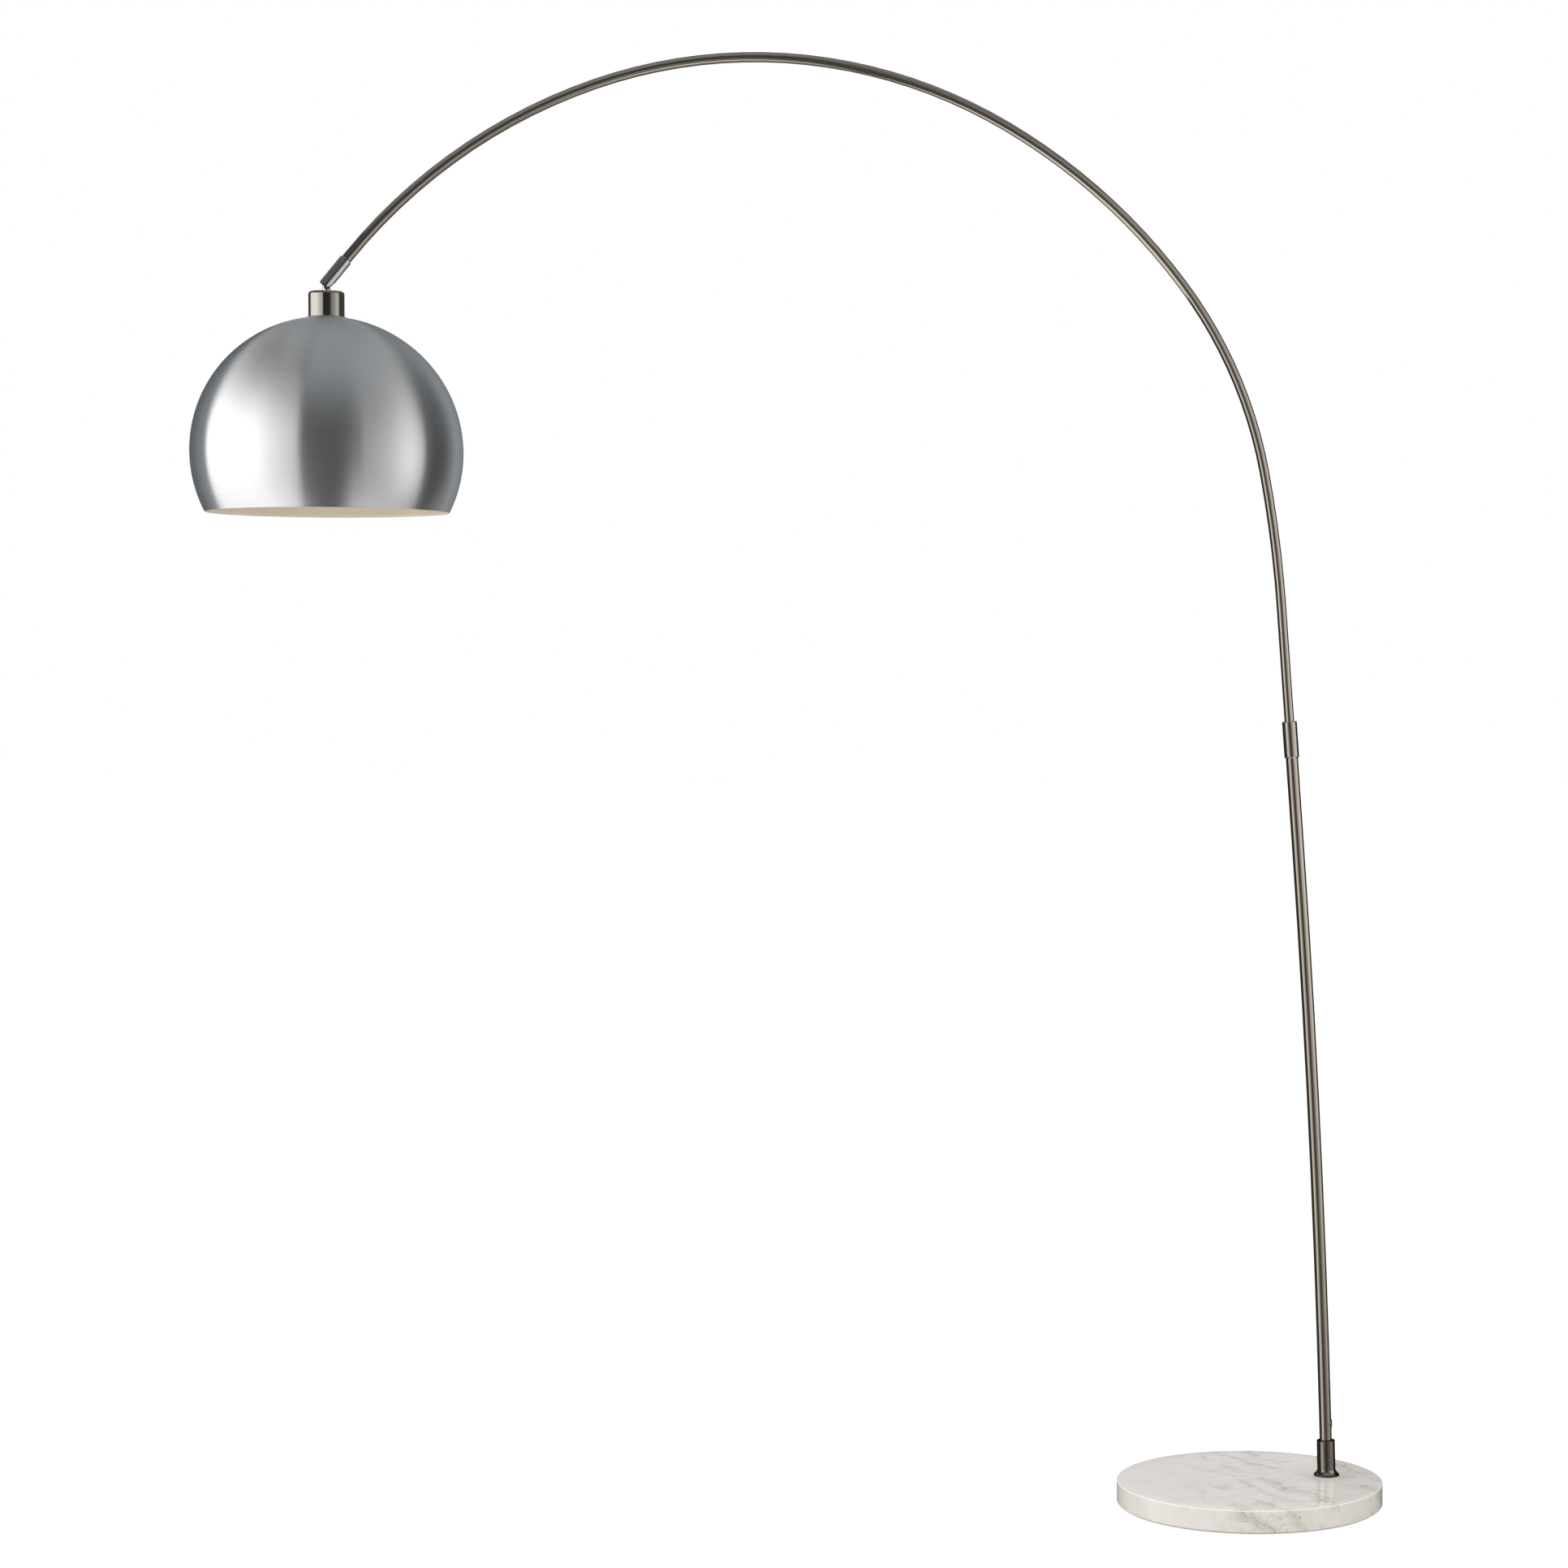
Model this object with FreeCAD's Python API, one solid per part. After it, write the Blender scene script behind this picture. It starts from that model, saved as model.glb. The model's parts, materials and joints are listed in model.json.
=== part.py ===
"""Arc floor lamp: marble base, two-stage pole, long arc tube and a dome shade on a slotted swivel.

Units are millimetres. +Z is up, the origin is the centre of the underside of the base, and the arc
lies in the XZ plane and reaches towards -X. Angles of the tube are in that plane, from +X to +Z.
"""
import FreeCAD, Part
import math
import os

from FreeCAD import Placement, Rotation, Vector

# ---- driving dimensions -------------------------------------------------------------------------
BASE_R = 172.5          # marble slab
BASE_TOP = 30.0
PAD_T = 1.5             # felt pad under the slab
BASE_BEVEL = 1.2
BASE_FOOT_ROUND = 2.5

POLE_X = 106.5          # pole axis at the top of the base
POLE_LEAN = 1.5         # degrees from vertical at the foot
LEG_LEAN = 4.33         # degrees from vertical above the pole's bend
LEG_START_Z = 860.0     # where the pole's gentle bend ends
POLE_R = 8.0
POLE_WALL = 1.2
POLE_FLOOR_Z = 33.0     # the pole stands on the foot flange

TUBE_R = 6.3            # arc tube
TUBE_WALL = 1.0
LEG_LENGTH = 303.6      # straight leg, from the end of the pole's bend to the first bend of the arc
ARC_BENDS = [(1500.0, 6.8), (550.0, 27.6), (750.0, 23.3), (632.0, 49.0), (706.0, 30.4)]

COLLAR_START = 110.0    # lock collar, distance along the leg
COLLAR_LEN = 47.5
COLLAR_R = 9.6
COLLAR_BORE = 8.85
POLE_END = COLLAR_START + 34.0
INSERTION = 70.0        # arc tube inside the pole at rest

GASKET_T = 1.2          # rubber ring between the marble and the flange
FLANGE_R = 16.4
FLANGE_TOP_Z = 38.0
BASE_COLLAR_R = 11.85
BASE_COLLAR_BORE = 10.2
BASE_COLLAR_END = 46.5  # distance along the pole from the base top

OUTLET_Z = 97.6         # cord outlet in the pole
OUTLET_AZ = -25.0       # degrees from +X, about +Z
OUTLET_LIP_R = 5.6
OUTLET_LIP = 0.7        # how far the lip stands out
OUTLET_LENGTH = 4.0
OUTLET_SHANK_R = 4.6
OUTLET_BORE_R = 3.0

SLEEVE_R = 7.8          # swivel sleeve at the head
SLEEVE_TOP = 37.8       # above the head pivot, along the sleeve
RING_BOTTOM = 29.5
RING_SHOULDER = 31.0    # shoulder in the ring that the arc tube stops at
TUBE_GAP = 0.1
SEAM = 0.2
SLEEVE_END = -3.2
STUB_ABOVE_SLEEVE = 5.6
SLOT_HALF = 3.6
SLOT_TOP = 6.5
EYE_HALF = 3.4
CHEEK_R = 5.1
NECK_GAP_R = 7.2
STEM_R = 4.75
THREAD_R = 4.0          # M8 stem thread
PIN_R = 1.5

CUP_TOP = -8.7          # below the head pivot
CUP_BOTTOM = -40.0
CUP_R = 21.5
CUP_WALL = 1.2

DOME_R = 162.8          # outside of the shade
DOME_CENTRE = -202.4
RIM_Z = -275.3
SHADE_T = 0.8
SHADE_HOLE_R = 19.5

HOLDER_R = 19.2         # threaded sleeve of the lampholder
HOLDER_END = -66.0
BULB_R = 30.0
BULB_CENTRE = -117.0

FIT = 0.06              # radial running clearance
UP = Vector(0, 0, 1)
ACROSS = Vector(0, 1, 0)


# ---- helpers ------------------------------------------------------------------------------------
def heading(angle):
    """Unit vector in the XZ plane at an angle from +X."""
    return Vector(math.cos(math.radians(angle)), 0, math.sin(math.radians(angle)))


def placed(shape, origin, angle):
    """Move a shape built about +Z so that its axis starts at origin and points along the angle."""
    shape.Placement = Placement(origin, Rotation(ACROSS, 90 - angle)).multiply(shape.Placement)
    return shape


def outline(points):
    """Closed wire in the XZ plane. A point is (x, z), or (x, z, x_mid, z_mid) for an arc to it."""
    edges = []
    last = points[-1]
    for point in points:
        start = Vector(last[0], 0, last[1])
        end = Vector(point[0], 0, point[1])
        if len(point) == 4:
            edges.append(Part.Arc(start, Vector(point[2], 0, point[3]), end).toShape())
        else:
            edges.append(Part.makeLine(start, end))
        last = point
    return Part.Wire(edges)


def turned(points):
    """Solid of revolution about Z from an outline of (r, z) points."""
    return Part.Face(outline(points)).revolve(Vector(), UP, 360)


def rod(radius, low, high):
    """Cylinder on the Z axis."""
    return Part.makeCylinder(radius, high - low, Vector(0, 0, low))


def ring(outer, inner, low, high):
    """Plain ring on the Z axis."""
    return rod(outer, low, high).cut(rod(inner, low - 1, high + 1))


def hex_nut(flats, bore, low, high):
    """Hexagon nut on the Z axis with its corners turned off."""
    corner = flats / math.sqrt(3)
    corners = [Vector(corner * math.cos(math.radians(a)), corner * math.sin(math.radians(a)), low)
               for a in range(0, 361, 60)]
    prism = Part.Face(Part.makePolygon(corners)).extrude(Vector(0, 0, high - low))
    edge = corner - flats / 2
    rim = turned([(0, low), (flats / 2, low), (corner, low + edge), (corner, high - edge),
                  (flats / 2, high), (0, high)])
    return prism.common(rim).cut(rod(bore, low - 1, high + 1))


def tube_path(start, angle, runs):
    """Runs of a planar tube: (radius, sweep) turns to the left, (length, 0) goes straight on."""
    stations = []
    point = Vector(start)
    for size, sweep in runs:
        stations.append((Vector(point), angle, size, sweep))
        if sweep:
            centre = point + heading(angle + 90) * size
            angle += sweep
            point = centre + heading(angle - 90) * size
        else:
            point = point + heading(angle) * size
    return stations, point, angle


def tube(stations, outer, inner):
    """Tube (or a rod where inner is 0) along the stations of a path."""
    pieces = []
    for point, angle, size, sweep in stations:
        direction = heading(angle)
        section = Part.Face(Part.Wire(Part.makeCircle(outer, point, direction)))
        if inner:
            section = section.cut(Part.Face(Part.Wire(Part.makeCircle(inner, point, direction))))
        if sweep:
            centre = point + heading(angle + 90) * size
            pieces.append(section.revolve(centre, Vector(0, -1, 0), sweep))
        else:
            pieces.append(section.extrude(direction * size))
    body = pieces[0].fuse(pieces[1:]) if len(pieces) > 1 else pieces[0]
    return body.removeSplitter()


def above(shape, level):
    """The part of a shape above a horizontal plane."""
    reach = 4000.0
    return shape.common(Part.makeBox(reach, reach, reach, Vector(-reach / 2, -reach / 2, level)))


# ---- the route of the two tubes -----------------------------------------------------------------
LEAN_RISE = math.sin(math.radians(LEG_LEAN)) - math.sin(math.radians(POLE_LEAN))
POLE_BEND_R = (LEG_START_Z - BASE_TOP) / LEAN_RISE
FOOT = Vector(POLE_X, 0, BASE_TOP)
POLE_RUNS = [(POLE_BEND_R, LEG_LEAN - POLE_LEAN), (POLE_END, 0)]
POLE_STATIONS = tube_path(FOOT, 90 + POLE_LEAN, POLE_RUNS)[0]
LEG = POLE_STATIONS[1][0]
LEG_ANGLE = 90 + LEG_LEAN
TUBE_START = POLE_END - INSERTION
ARC_START = LEG + heading(LEG_ANGLE) * TUBE_START
ARC_STOP = RING_SHOULDER + TUBE_GAP
TUBE_END = SLEEVE_TOP + STUB_ABOVE_SLEEVE - ARC_STOP
ARC_RUNS = [(LEG_LENGTH - TUBE_START, 0)] + ARC_BENDS + [(TUBE_END, 0)]
ARC_STATIONS, ARC_TIP, SLEEVE_ANGLE = tube_path(ARC_START, LEG_ANGLE, ARC_RUNS)
HEAD = ARC_TIP + heading(SLEEVE_ANGLE) * ARC_STOP
SLEEVE_UP = SLEEVE_ANGLE - 180


def on_leg(shape):
    return placed(shape, LEG, LEG_ANGLE)


def on_collar(shape):
    return placed(shape, LEG + heading(LEG_ANGLE) * COLLAR_START, LEG_ANGLE)


def on_sleeve(shape):
    return placed(shape, HEAD, SLEEVE_UP)


def on_head(shape):
    return placed(shape, HEAD, 90)


def on_foot(shape):
    return placed(shape, Vector(POLE_X, 0, 0), 90)


# ---- base ---------------------------------------------------------------------------------------
STUD_R = 4.9
SCREW_Z = 58.0          # grub screw in the back of the base collar
RECESS_R = 24.0
RECESS_TOP = 13.5
WASHER_BOTTOM = 10.5
LOCK_WASHER_BOTTOM = 8.7
NUT_BOTTOM = 3.2


def base_slab():
    slab = turned([(0, PAD_T), (BASE_R - BASE_FOOT_ROUND, PAD_T),
                   (BASE_R, PAD_T + BASE_FOOT_ROUND,
                    BASE_R - 0.3 * BASE_FOOT_ROUND, PAD_T + 0.3 * BASE_FOOT_ROUND),
                   (BASE_R, BASE_TOP - BASE_BEVEL), (BASE_R - BASE_BEVEL, BASE_TOP), (0, BASE_TOP)])
    hole = on_foot(rod(STUD_R + 0.6, 0, BASE_TOP + 1))
    recess = on_foot(rod(RECESS_R, 0, RECESS_TOP))
    return slab.cut(hole).cut(recess)


def base_pad():
    return rod(BASE_R - 4.0, 0, PAD_T)


def base_stud():
    return on_foot(rod(STUD_R, 2.4, 52.0))


def stud_washer():
    return on_foot(ring(20.0, STUD_R + 0.4, WASHER_BOTTOM, RECESS_TOP))


def stud_lock_washer():
    """Split spring washer."""
    washer = ring(8.8, STUD_R + 0.2, LOCK_WASHER_BOTTOM, WASHER_BOTTOM)
    split = Part.makeBox(6.0, 1.0, 4.0, Vector(4.0, -0.5, LOCK_WASHER_BOTTOM - 1))
    return on_foot(washer.cut(split))


def stud_nut():
    return on_foot(hex_nut(17.0, STUD_R, NUT_BOTTOM, LOCK_WASHER_BOTTOM))


def foot_gasket():
    """Rubber ring that keeps the flange off the marble."""
    return on_foot(ring(FLANGE_R + 0.1, STUD_R + 0.6, BASE_TOP, BASE_TOP + GASKET_T))


def foot_flange():
    """Flared ring that the collar stands on, with a floor for the pole."""
    foot = BASE_TOP + GASKET_T
    flare = turned([(STUD_R + 0.3, foot), (FLANGE_R - 0.4, foot), (FLANGE_R, foot + 0.4),
                    (FLANGE_R, foot + 0.8), (BASE_COLLAR_R, FLANGE_TOP_Z, 13.7, 34.5),
                    (9.7, FLANGE_TOP_Z), (9.7, 42.0), (8.9, 42.0), (8.9, POLE_FLOOR_Z),
                    (STUD_R + 0.3, POLE_FLOOR_Z)])
    return on_foot(flare)


def base_collar():
    """Sleeve round the foot of the pole, open at the top, with the pole's lean."""
    high = BASE_COLLAR_END
    outer = BASE_COLLAR_R
    bore = BASE_COLLAR_BORE
    wall = turned([(bore, 0), (outer, 0), (outer, high - 0.5), (outer - 0.5, high), (bore + 0.7, high),
                   (bore, high - 0.7)])
    wall = above(placed(wall, FOOT, 90 + POLE_LEAN), FLANGE_TOP_Z)
    return wall.cut(screw_axis(2.55, 9.0, 14.0))


def screw_axis(radius, near, far):
    """Cylinder across the back of the collar, from near to far of the pole's axis."""
    x = FOOT.x - (SCREW_Z - BASE_TOP) * math.tan(math.radians(POLE_LEAN))
    return Part.makeCylinder(radius, far - near, Vector(x, near, SCREW_Z), ACROSS)


def collar_screw():
    """Grub screw with a socket, bearing on the pole."""
    return screw_axis(2.5, POLE_R + 0.02, 11.7).cut(screw_axis(1.2, 9.8, 12.0))


def pole_plug():
    """Tapped plug in the foot of the pole."""
    plug = placed(rod(POLE_R - POLE_WALL - 0.05, 0, 26.0), FOOT, 90 + POLE_LEAN)
    return above(plug, POLE_FLOOR_Z).cut(on_foot(rod(STUD_R + 0.05, 0, 80.0)))


def outlet_axis(shape):
    """Turn a shape built about +Z so that it points out of the cord outlet."""
    lean = math.radians(POLE_LEAN)
    lift = math.asin(math.sin(lean) + (OUTLET_Z - BASE_TOP) / POLE_BEND_R)
    x = POLE_X - POLE_BEND_R * (math.cos(lean) - math.cos(lift))
    turn = Rotation(UP, OUTLET_AZ).multiply(Rotation(ACROSS, 90))
    shape.Placement = Placement(Vector(x, 0, OUTLET_Z), turn)
    return shape


def lower_pole():
    pole = above(tube(POLE_STATIONS, POLE_R, POLE_R - POLE_WALL), POLE_FLOOR_Z)
    return pole.cut(outlet_axis(rod(OUTLET_SHANK_R + 0.05, 0, 12.0)))


def cord_outlet():
    """Bush in the pole's side, with a rounded lip that follows the pole."""
    high = POLE_R + OUTLET_LIP
    round_r = 0.5
    edge = OUTLET_LIP_R - 0.3 * round_r
    lip = turned([(0, 4.0), (OUTLET_LIP_R, 4.0), (OUTLET_LIP_R, high - round_r),
                  (OUTLET_LIP_R - round_r, high, edge, high - 0.3 * round_r), (0, high)])
    lip = outlet_axis(lip).cut(tube(POLE_STATIONS[:1], POLE_R + 0.02, 0))
    shank = outlet_axis(rod(OUTLET_SHANK_R, high - OUTLET_LENGTH, high - round_r))
    return lip.fuse(shank).removeSplitter().cut(outlet_axis(rod(OUTLET_BORE_R, 0, 12.0)))


# ---- lock collar between the tubes --------------------------------------------------------------
def pole_ferrule():
    """Threaded ring on the top of the pole."""
    outer = COLLAR_BORE - 0.1
    return on_collar(turned([(POLE_R, 4.0), (outer - 0.4, 4.0), (outer, 4.4), (outer, 30.6),
                             (outer - 0.4, 31.0), (POLE_R, 31.0)]))


def collet():
    """Split ring that grips the arc tube."""
    low = POLE_END - COLLAR_START + 0.1
    bore = TUBE_R + 0.05
    outer = COLLAR_BORE - 0.35
    body = turned([(bore, low), (outer, low), (outer, low + 3.5), (7.2, low + 9.7), (bore, low + 9.7)])
    for angle in (0, 90):
        slot = Part.makeBox(24.0, 1.0, 10.0, Vector(-12.0, -0.5, low + 2.5))
        slot.rotate(Vector(), UP, angle)
        body = body.cut(slot)
    return on_collar(body)


def lock_collar():
    """Twist-lock collar, chamfered at both ends."""
    length = COLLAR_LEN
    bore = COLLAR_BORE
    return on_collar(turned([(POLE_R + 0.15, 0), (8.4, 0), (COLLAR_R, 1.6), (COLLAR_R, length - 0.6),
                             (COLLAR_R - 0.6, length), (7.4, length), (6.6, length - 1.0),
                             (6.6, length - 3.0), (7.6, length - 3.0), (bore, length - 9.5),
                             (bore, 3.0), (POLE_R + 0.15, 3.0)]))


# ---- arm ----------------------------------------------------------------------------------------
def arc_tube():
    return tube(ARC_STATIONS, TUBE_R, TUBE_R - TUBE_WALL)


def arm_bush():
    """Guide bush on the lower end of the arc tube, sliding in the pole."""
    guide = POLE_R - POLE_WALL - 0.1
    low = TUBE_START - 12.0
    return on_leg(turned([(3.6, low), (guide - 0.6, low), (guide, low + 0.6), (guide, TUBE_START),
                          (TUBE_R - TUBE_WALL, TUBE_START), (TUBE_R - TUBE_WALL, TUBE_START + 10.0),
                          (3.6, TUBE_START + 10.0)]))


STUB_R = 5.6            # hollow stub of the swivel ring, on which the sleeve turns
STUB_BORE = 3.4
STUB_LOW = 16.0
LEDGE = 24.0            # ledge in the sleeve that the swivel nut pulls against


def swivel_ring():
    """Fixed upper ring of the swivel, with its stub."""
    return on_sleeve(turned([(SLEEVE_R, RING_BOTTOM), (SLEEVE_R, SLEEVE_TOP - 0.6),
                             (SLEEVE_R - 0.6, SLEEVE_TOP), (TUBE_R, SLEEVE_TOP),
                             (TUBE_R, RING_SHOULDER), (STUB_BORE, RING_SHOULDER), (STUB_BORE, STUB_LOW),
                             (STUB_R, STUB_LOW), (STUB_R, RING_BOTTOM)]))


def swivel_washer():
    return on_sleeve(ring(6.15, STUB_R, LEDGE - 1.0, LEDGE - 0.05))


def swivel_nut():
    """Round nut with two driver slots."""
    nut = ring(6.1, STUB_R, LEDGE - 5.5, LEDGE - 1.0)
    driver = Part.makeBox(14.0, 1.2, 1.2, Vector(-7.0, -0.6, LEDGE - 5.5))
    driver = driver.cut(rod(STUB_R, LEDGE - 7.0, LEDGE))
    return on_sleeve(nut.cut(driver))


# ---- swivel sleeve ------------------------------------------------------------------------------
def swivel_sleeve():
    """Turning sleeve: square at one side of its end, rounded at the other, slotted for the stem."""
    top = RING_BOTTOM - SEAM
    blank = rod(SLEEVE_R, SLEEVE_END, top)
    side = outline([(-9.0, top), (-9.0, SLEEVE_END + 2.0), (-6.8, SLEEVE_END),
                    (math.sqrt(CHEEK_R ** 2 - SLEEVE_END ** 2), SLEEVE_END),
                    (SLEEVE_R, 13.0, 6.55, 2.6), (9.0, 13.0), (9.0, top)])
    cheeks = Part.Face(side).extrude(Vector(0, 20.0, 0))
    cheeks.translate(Vector(0, -10.0, 0))
    body = blank.common(cheeks)
    slot_low = Vector(-5.0, -SLOT_HALF, 2 * SLEEVE_END)
    body = body.cut(Part.makeBox(20.0, 2 * SLOT_HALF, SLOT_TOP - slot_low.z, slot_low))
    body = body.cut(rod(3.0, 0, 12.0))
    body = body.cut(rod(6.3, 10.0, LEDGE))
    body = body.cut(rod(STUB_R + FIT, LEDGE - 1, top + 1))
    pin = Part.makeCylinder(PIN_R, 20.0, Vector(0, -10.0, 0), ACROSS)
    return on_sleeve(body.cut(pin))


def pivot_pin():
    return on_sleeve(Part.makeCylinder(PIN_R, 14.8, Vector(0, -7.4, 0), ACROSS))


# ---- head ---------------------------------------------------------------------------------------
STEM_LOW = -26.0
STEM_BORE = 2.0


def head_stem():
    """Hollow stem: an eye on the pin, a round neck and a threaded shank."""
    eye = Part.makeCylinder(STEM_R, 2 * EYE_HALF, Vector(0, -EYE_HALF, 0), ACROSS)
    neck = rod(STEM_R, CUP_TOP, 0)
    for low in (-10.0, EYE_HALF):
        neck = neck.cut(Part.makeCylinder(NECK_GAP_R, 10.0 - EYE_HALF, Vector(0, low, 0), ACROSS))
    stem = eye.fuse(neck).fuse(rod(THREAD_R, STEM_LOW, CUP_TOP))
    stem = stem.removeSplitter().cut(rod(STEM_BORE, STEM_LOW - 1, 6.0))
    pin = Part.makeCylinder(PIN_R + FIT, 20.0, Vector(0, -10.0, 0), ACROSS)
    return on_head(stem.cut(pin))


def stem_nut():
    return on_head(hex_nut(14.0, THREAD_R, CUP_TOP - CUP_WALL - 4.8, CUP_TOP - CUP_WALL))


def socket_cup():
    """Cup over the lampholder, with a slightly domed top and a rounded shoulder."""
    top = CUP_TOP
    inner = CUP_R - CUP_WALL
    return on_head(turned([(THREAD_R + 0.1, top), (8.0, top), (18.6, top - 0.9, 13.4, top - 0.25),
                           (CUP_R, top - 4.2, CUP_R - 1.0, top - 1.9), (CUP_R, CUP_BOTTOM),
                           (inner, CUP_BOTTOM), (inner, top - 4.4),
                           (18.2, top - 2.1, inner - 0.8, top - 2.9),
                           (8.0, top - CUP_WALL, 13.2, top - 1.43), (THREAD_R + 0.1, top - CUP_WALL)]))


HOLDER_TOP = -33.0
HOLDER_CAP_TOP = -15.0
HOLDER_CAP_R = 17.5
HOLDER_FLOOR = 3.0
WIRE_R = 2.5            # wire hole in the lampholder's floor
SHELL_R = 14.2
BULB_TIP = -39.3


def lampholder_cap():
    """Domed cap of the lampholder, threaded on the stem."""
    outer = HOLDER_CAP_R
    return on_head(turned([(THREAD_R, HOLDER_CAP_TOP), (13.5, HOLDER_CAP_TOP),
                           (outer, HOLDER_CAP_TOP - 4.0, outer - 1.2, HOLDER_CAP_TOP - 1.2),
                           (outer, HOLDER_TOP), (outer - 2.0, HOLDER_TOP),
                           (outer - 2.0, HOLDER_CAP_TOP - 4.5), (THREAD_R, HOLDER_CAP_TOP - 3.0)]))


def lampholder_body():
    """Insulating body with a flange over the shade and an outside thread for the shade ring."""
    flange = CUP_R - CUP_WALL - 0.2
    flange_top = CUP_BOTTOM + 2.0
    ceiling = HOLDER_TOP - HOLDER_FLOOR
    return on_head(turned([(WIRE_R, HOLDER_TOP), (HOLDER_CAP_R, HOLDER_TOP), (HOLDER_CAP_R, flange_top),
                           (flange, flange_top), (flange, CUP_BOTTOM), (HOLDER_R, CUP_BOTTOM),
                           (HOLDER_R, HOLDER_END), (SHELL_R, HOLDER_END), (SHELL_R, ceiling),
                           (WIRE_R, ceiling)]))


def lampholder_shell():
    """Screw shell with a rolled thread."""
    low = HOLDER_END + 2.0
    pitch = 3.6
    wall = 0.35
    turns = 6
    outer = [(SHELL_R, low)]
    inner = []
    for turn in range(turns):
        base = low + pitch * turn
        outer.append((SHELL_R, base + 0.5 * pitch))
        outer.append((SHELL_R - 0.2, base + 0.75 * pitch))
        outer.append((SHELL_R, base + pitch))
    for r, z in reversed(outer):
        inner.append((r - wall, z))
    return on_head(turned(outer + inner))


def lampholder_contact():
    """Spring tongue for the middle of the bulb's cap."""
    high = HOLDER_TOP - HOLDER_FLOOR
    low = high - 0.5
    tongue = outline([(-7.0, high), (-2.6, high), (3.0, BULB_TIP + 0.4), (3.0, BULB_TIP),
                      (1.8, BULB_TIP), (-3.0, low), (-7.0, low)])
    strip = Part.Face(tongue).extrude(Vector(0, 6.0, 0))
    strip.translate(Vector(0, -3.0, 0))
    return on_head(strip)


def terminal_screws():
    """Two slotted screws inside the lampholder's cap."""
    screws = []
    for x in (-9.0, 9.0):
        head = Part.makeCylinder(2.8, 2.0, Vector(x, 0, HOLDER_TOP))
        slot = Part.makeBox(6.0, 0.8, 0.9, Vector(x - 3.0, -0.4, HOLDER_TOP + 1.2))
        screws.append(head.cut(slot))
    return on_head(Part.makeCompound(screws))


# ---- shade --------------------------------------------------------------------------------------
NECK_TOP_R = 22.0       # short neck under the cup
NECK_FOOT_R = 26.0


def dome_z(radius, r):
    """Height of a sphere about the dome's centre, at a distance from the axis."""
    return DOME_CENTRE + math.sqrt(radius ** 2 - r ** 2)


def shade():
    """Spun dome: a part of a sphere with a short neck under the cup."""
    inside = DOME_R - SHADE_T
    under = CUP_BOTTOM - SHADE_T
    middle = math.radians(45)
    rim_r = math.sqrt(DOME_R ** 2 - (RIM_Z - DOME_CENTRE) ** 2)
    rim_in = math.sqrt(inside ** 2 - (RIM_Z - DOME_CENTRE) ** 2)
    return on_head(turned([
        (SHADE_HOLE_R, CUP_BOTTOM), (NECK_TOP_R, CUP_BOTTOM), (NECK_FOOT_R, dome_z(DOME_R, NECK_FOOT_R)),
        (rim_r, RIM_Z, DOME_R * math.cos(middle), DOME_CENTRE + DOME_R * math.sin(middle)),
        (rim_in, RIM_Z),
        (NECK_FOOT_R - 0.2, dome_z(inside, NECK_FOOT_R - 0.2),
         inside * math.cos(middle), DOME_CENTRE + inside * math.sin(middle)),
        (NECK_TOP_R - 0.2, under), (SHADE_HOLE_R, under)]))


def shade_ring():
    """Ring that screws on the lampholder and clamps the shade."""
    top = CUP_BOTTOM - SHADE_T
    bore = HOLDER_R
    body = turned([(bore, top), (21.6, top), (24.5, top - 3.0), (24.5, top - 4.6), (22.5, top - 4.6),
                   (22.5, top - 10.0), (bore, top - 10.0)])
    for index in range(12):
        notch = Part.makeCylinder(1.4, 8.0, Vector(23.3, 0, top - 10.5))
        notch.rotate(Vector(), UP, 30 * index)
        body = body.cut(notch)
    return on_head(body)


# ---- bulb ---------------------------------------------------------------------------------------
CAP_R = 13.4
CAP_LOW = -63.0
GLASS_T = 1.0
NECK_R = 12.6


def bulb_glass():
    """Hollow envelope: a neck inside the cap, flowing into a sphere."""
    top = CAP_LOW + 5.0
    swell = (21.0, -86.0)
    join = math.radians(25)
    side = (BULB_R * math.cos(join), BULB_CENTRE + BULB_R * math.sin(join))
    inner = BULB_R - GLASS_T
    inner_side = (inner * math.cos(join), BULB_CENTRE + inner * math.sin(join))
    foot = BULB_CENTRE - BULB_R
    low = (BULB_R * math.sin(join), BULB_CENTRE - BULB_R * math.cos(join))
    inner_low = (inner * math.sin(join), BULB_CENTRE - inner * math.cos(join))
    return on_head(turned([
        (NECK_R, top), (NECK_R, CAP_LOW - 1.0), (*side, *swell), (*low, BULB_R, BULB_CENTRE),
        (0, foot, BULB_R * math.sin(join / 2), BULB_CENTRE - BULB_R * math.cos(join / 2)),
        (0, foot + GLASS_T),
        (*inner_low, inner * math.sin(join / 2), BULB_CENTRE - inner * math.cos(join / 2)),
        (*inner_side, inner, BULB_CENTRE),
        (NECK_R - GLASS_T, CAP_LOW - 1.5, swell[0] - 1.1, swell[1] - 0.6), (NECK_R - GLASS_T, top)]))


def bulb_cap():
    """Thin threaded cap of the bulb."""
    wall = 0.3
    return on_head(turned([(CAP_R, CAP_LOW), (CAP_R, -45.0), (10.0, -42.4), (4.6, -41.0),
                           (4.6, -41.0 - wall), (10.0 - wall, -42.4 - wall), (CAP_R - wall, -45.2),
                           (CAP_R - wall, CAP_LOW)]))


def bulb_contact():
    return on_head(turned([(0, BULB_TIP), (2.2, BULB_TIP), (4.5, -40.4), (4.5, -41.8), (0, -41.8)]))


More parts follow.
